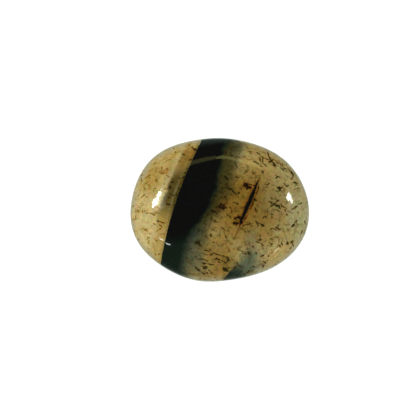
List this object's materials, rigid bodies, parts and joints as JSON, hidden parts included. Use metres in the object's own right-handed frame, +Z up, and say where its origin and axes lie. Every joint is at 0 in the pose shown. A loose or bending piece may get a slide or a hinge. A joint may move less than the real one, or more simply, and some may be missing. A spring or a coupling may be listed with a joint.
{
  "type": "indian agate gemstone",
  "caption": "Tumbled and polished oval agate pebble with a dark mineral band and moss-like needle inclusions, resting on a small flat spot.",
  "frame": {"origin": "middle of the stone's footprint, on the surface that its small flat spot rests on", "axes": "+X along the stone's length, +Y across its width, +Z up through its thickness, out of the broad face that the picture shows"},
  "size_m": [0.03, 0.0242, 0.0147],
  "materials": {
    "polished_agate": "polished"
  },
  "bodies": {
    "root": {"agate_stone": "polished_agate"}
  },
  "joints": []
}
